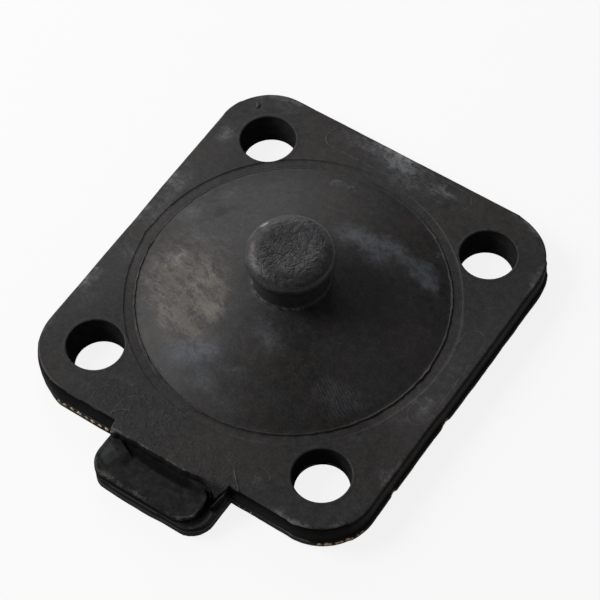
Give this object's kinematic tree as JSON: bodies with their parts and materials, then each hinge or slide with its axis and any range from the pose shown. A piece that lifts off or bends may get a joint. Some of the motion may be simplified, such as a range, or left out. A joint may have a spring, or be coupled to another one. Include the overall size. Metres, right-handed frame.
{
  "type": "valve diaphragm",
  "caption": "Moulded rubber diaphragm for a weir valve: rounded rectangular flange with bolt holes, shallow dome, push-fit button, grip tab and a woven ply.",
  "frame": {"origin": "centre of the rectangle of bolt holes, on the flat wet face of the flange", "axes": "+Z out of the bonnet face, towards the button; +Y along the longer side of the bolt rectangle, away from the tab; +X along its shorter side"},
  "size_m": [0.0638, 0.0782, 0.0199],
  "materials": {
    "black_rubber": "matte, with pale bloom and scuffs",
    "woven_ply": "coarse tan cotton weave"
  },
  "bodies": {
    "root": {"rubber_body": "black_rubber", "fabric_ply": "woven_ply"}
  },
  "joints": []
}
